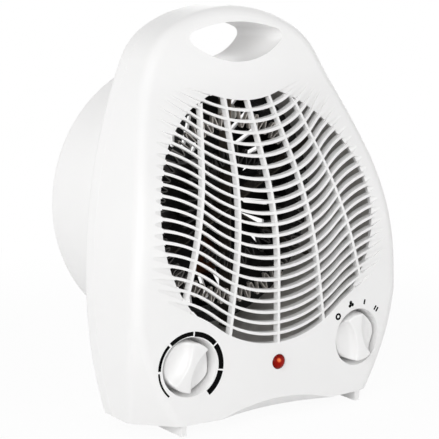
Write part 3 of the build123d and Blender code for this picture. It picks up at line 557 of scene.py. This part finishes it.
def layOnPanel(pieces, name):  # joins flat shapes, lays them on the shell, gives them the ink's thickness
    startDrawing()
    for piece in pieces:
        piece.select_set(True)
    bpy.context.view_layer.objects.active = pieces[0]
    bpy.ops.object.join()
    sheet = bpy.context.object
    sheet.name = name
    bpy.ops.object.transform_apply(location=True, rotation=True, scale=True)
    bpy.ops.object.mode_set(mode="EDIT")
    bpy.ops.mesh.select_all(action="SELECT")
    bpy.ops.mesh.remove_doubles(threshold=panelPrint["merge"])
    bpy.ops.mesh.normals_make_consistent(inside=False)
    bpy.ops.object.mode_set(mode="OBJECT")
    modify(
        sheet, "SHRINKWRAP", target=nodes["front_shell"], wrap_method="PROJECT",
        use_project_y=True, use_positive_direction=True, use_negative_direction=False,
    )
    modify(sheet, "SOLIDIFY", thickness=panelPrint["ink"], offset=0)
    bpy.ops.object.mode_set(mode="EDIT")
    bpy.ops.mesh.select_all(action="SELECT")
    bpy.ops.mesh.normals_make_consistent(inside=False)
    bpy.ops.transform.translate(value=(0, -panelPrint["proud"], 0))
    bpy.ops.object.mode_set(mode="OBJECT")
    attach(sheet, "housing")
    return sheet


# heat dial: six bars round the thermostat, each wider than the one before
heatDial = {
    "x": -0.0607, "z": 0.0413, "outer": 0.0215, "first": -137.5, "step": 47.6, "gap": 0.0008,
    "widths": (0.0011, 0.0018, 0.0025, 0.003, 0.0033, 0.0035), "steps": 384,
}


def insideBar(first, last):
    def test(x, z):
        turn = math.degrees(math.atan2(x - heatDial["x"], z - heatDial["z"]))
        return first <= turn <= last
    return test


bars = []
spare = math.degrees(heatDial["gap"] / 2 / heatDial["outer"])
for number, width in enumerate(heatDial["widths"]):
    first = heatDial["first"] + number * heatDial["step"] + spare
    keep = insideBar(first, first + heatDial["step"] - 2 * spare)
    bars.append(ringBand(heatDial["x"], heatDial["z"], heatDial["outer"], width, heatDial["steps"], keep))
dialPrint = layOnPanel(bars, "heat_dial_print")

# signs over the switch: off, fan alone, low heat, high heat
switchSigns = {
    "reach": 0.0221, "line": 0.00125, "tall": 0.0033, "ring": 0.0022, "ringSteps": 40,
    "offAt": -46.6, "fanAt": -14.8, "lowAt": 14.7, "highAt": 45,
    "blades": 3, "bladeAway": 0.56, "bladeWide": 1.7, "bladeTall": 1.05, "bladeLean": 20,
    "pairLean": 38, "pairShift": 0.00105,
}


def signSpot(turn):
    angle = math.radians(turn)
    x = knob["away"] + switchSigns["reach"] * math.sin(angle)
    z = knob["z"] + switchSigns["reach"] * math.cos(angle)
    return x, z


def everywhere(x, z):
    return True


line, tall, ring = switchSigns["line"], switchSigns["tall"], switchSigns["ring"]
x, z = signSpot(switchSigns["offAt"])
signs = [ringBand(x, z, ring, line, switchSigns["ringSteps"], everywhere)]
x, z = signSpot(switchSigns["fanAt"])
away = ring * switchSigns["bladeAway"]
bladeWide, bladeTall = line * switchSigns["bladeWide"], ring * switchSigns["bladeTall"]
for number in range(switchSigns["blades"]):
    turn = number * 360 / switchSigns["blades"]
    angle = math.radians(turn + switchSigns["fanAt"])
    bladeX, bladeZ = x + away * math.sin(angle), z + away * math.cos(angle)
    signs.append(stroke(bladeX, bladeZ, bladeWide, bladeTall, turn + switchSigns["bladeLean"]))
x, z = signSpot(switchSigns["lowAt"])
signs.append(stroke(x, z, line, tall, switchSigns["lowAt"]))
x, z = signSpot(switchSigns["highAt"])
angle = math.radians(switchSigns["pairLean"])
for side in (-1, 1):
    shift = side * switchSigns["pairShift"]
    barX, barZ = x + shift * math.cos(angle), z - shift * math.sin(angle)
    signs.append(stroke(barX, barZ, line, tall, switchSigns["pairLean"]))
signPrint = layOnPanel(signs, "switch_sign_print")

blackInk = {
    "dark": shade(0.0015), "light": shade(0.003), "shine": 0.03, "roughness": 0.55, "spread": 0.2,
    "speck": {"scale": 2400, "detail": 3}, "relief": {"strength": 0.1, "distance": 0.00001},
}
paint = Paint("blackInk")
speck = paint.noise(**blackInk["speck"])
paint.set(
    Base_Color=paint.blend(speck, blackInk["dark"], blackInk["light"]),
    Specular_IOR_Level=blackInk["shine"],
    Roughness=speck.around(blackInk["roughness"], blackInk["spread"]),
)
paint.bump(speck, **blackInk["relief"])
paint.on(dialPrint, signPrint)
print("prints laid on the panel")

# white stage: the floor glows for the camera and keeps a faint shadow near the object
stage = {"size": 8.0, "card": shade(0.9), "glowAndHighlight": 1.0, "nearGlow": 0.94, "near": 0.2, "far": 0.5}
startDrawing()
bpy.ops.mesh.primitive_plane_add(size=stage["size"], location=(0, 0, 0))
floor = bpy.context.object
floor.name = "studioFloor"
paint = Paint("studioWhite")
x, y, z = paint.axes()
farther = stage["nearGlow"] + (1 - stage["nearGlow"]) * paint.ramp(apart(x, y), stage["near"], stage["far"])
glowAndHighlight = paint.node("ShaderNodeEmission", {}, {"Strength": stage["glowAndHighlight"]}).out()
card = paint.node("ShaderNodeBsdfDiffuse", {}, {"Color": stage["card"]}).out()
mixer = paint.node("ShaderNodeMixShader", {}, {0: paint.lookedAt() * farther, 1: card, 2: glowAndHighlight}).out()
paint.feed(paint.tree.nodes["Material Output"].inputs["Surface"], mixer)
paint.tree.nodes.remove(paint.shader)
paint.on(floor)

# sky: white to the camera and in reflections, softer as light
sky = {"light": 0.45, "seen": 1.0, "colour": (1, 1, 1, 1)}
world = bpy.data.worlds.new("studioSky")
bpy.context.scene.world = world
world.use_nodes = True
air = NodeMaker(world.node_tree)
backdrop = air.tree.nodes["Background"]
air.feed(backdrop.inputs["Color"], sky["colour"])
air.feed(backdrop.inputs["Strength"], sky["light"] + (sky["seen"] - sky["light"]) * air.lookedAt())

# soft boxes, all aimed at the middle of the object
aim = (0, 0, 0.12)
lamps = {
    "keySide": {"at": (-1.6, -0.9, 0.8), "size": 1.4, "watts": 21.5},
    "frontFill": {"at": (1.1, -1.8, 0.4), "size": 1.2, "watts": 12.5},
    "backFill": {"at": (-1.2, 1.7, 0.5), "size": 1.4, "watts": 3},
    "farFill": {"at": (1.5, 1.5, 0.7), "size": 1.4, "watts": 13},
}
for name, lamp in lamps.items():
    bpy.ops.object.light_add(type="AREA", location=lamp["at"])
    light = bpy.context.object
    light.name = name
    light.data.size = lamp["size"]
    light.data.energy = lamp["watts"]
    towardX, towardY, towardZ = (end - start for start, end in zip(lamp["at"], aim))
    tilt = math.atan2(math.hypot(towardX, towardY), -towardZ)
    light.rotation_euler = (tilt, 0, math.atan2(towardY, towardX) - math.pi / 2)

# camera of the product picture
eye = {
    "at": (-0.5284, -0.7778, 0.2860), "down": 0.18162, "turn": -0.59474,
    "lens": 126.56, "sensor": 36, "clip": 0.01,
}
bpy.ops.object.camera_add(location=eye["at"], rotation=(math.pi / 2 - eye["down"], 0, eye["turn"]))
camera = bpy.context.object
camera.data.sensor_width = eye["sensor"]
camera.data.lens = eye["lens"]
camera.data.clip_start = eye["clip"]
bpy.context.scene.camera = camera
bpy.context.scene.view_settings.view_transform = "Standard"
print("stage, lamps and camera set")
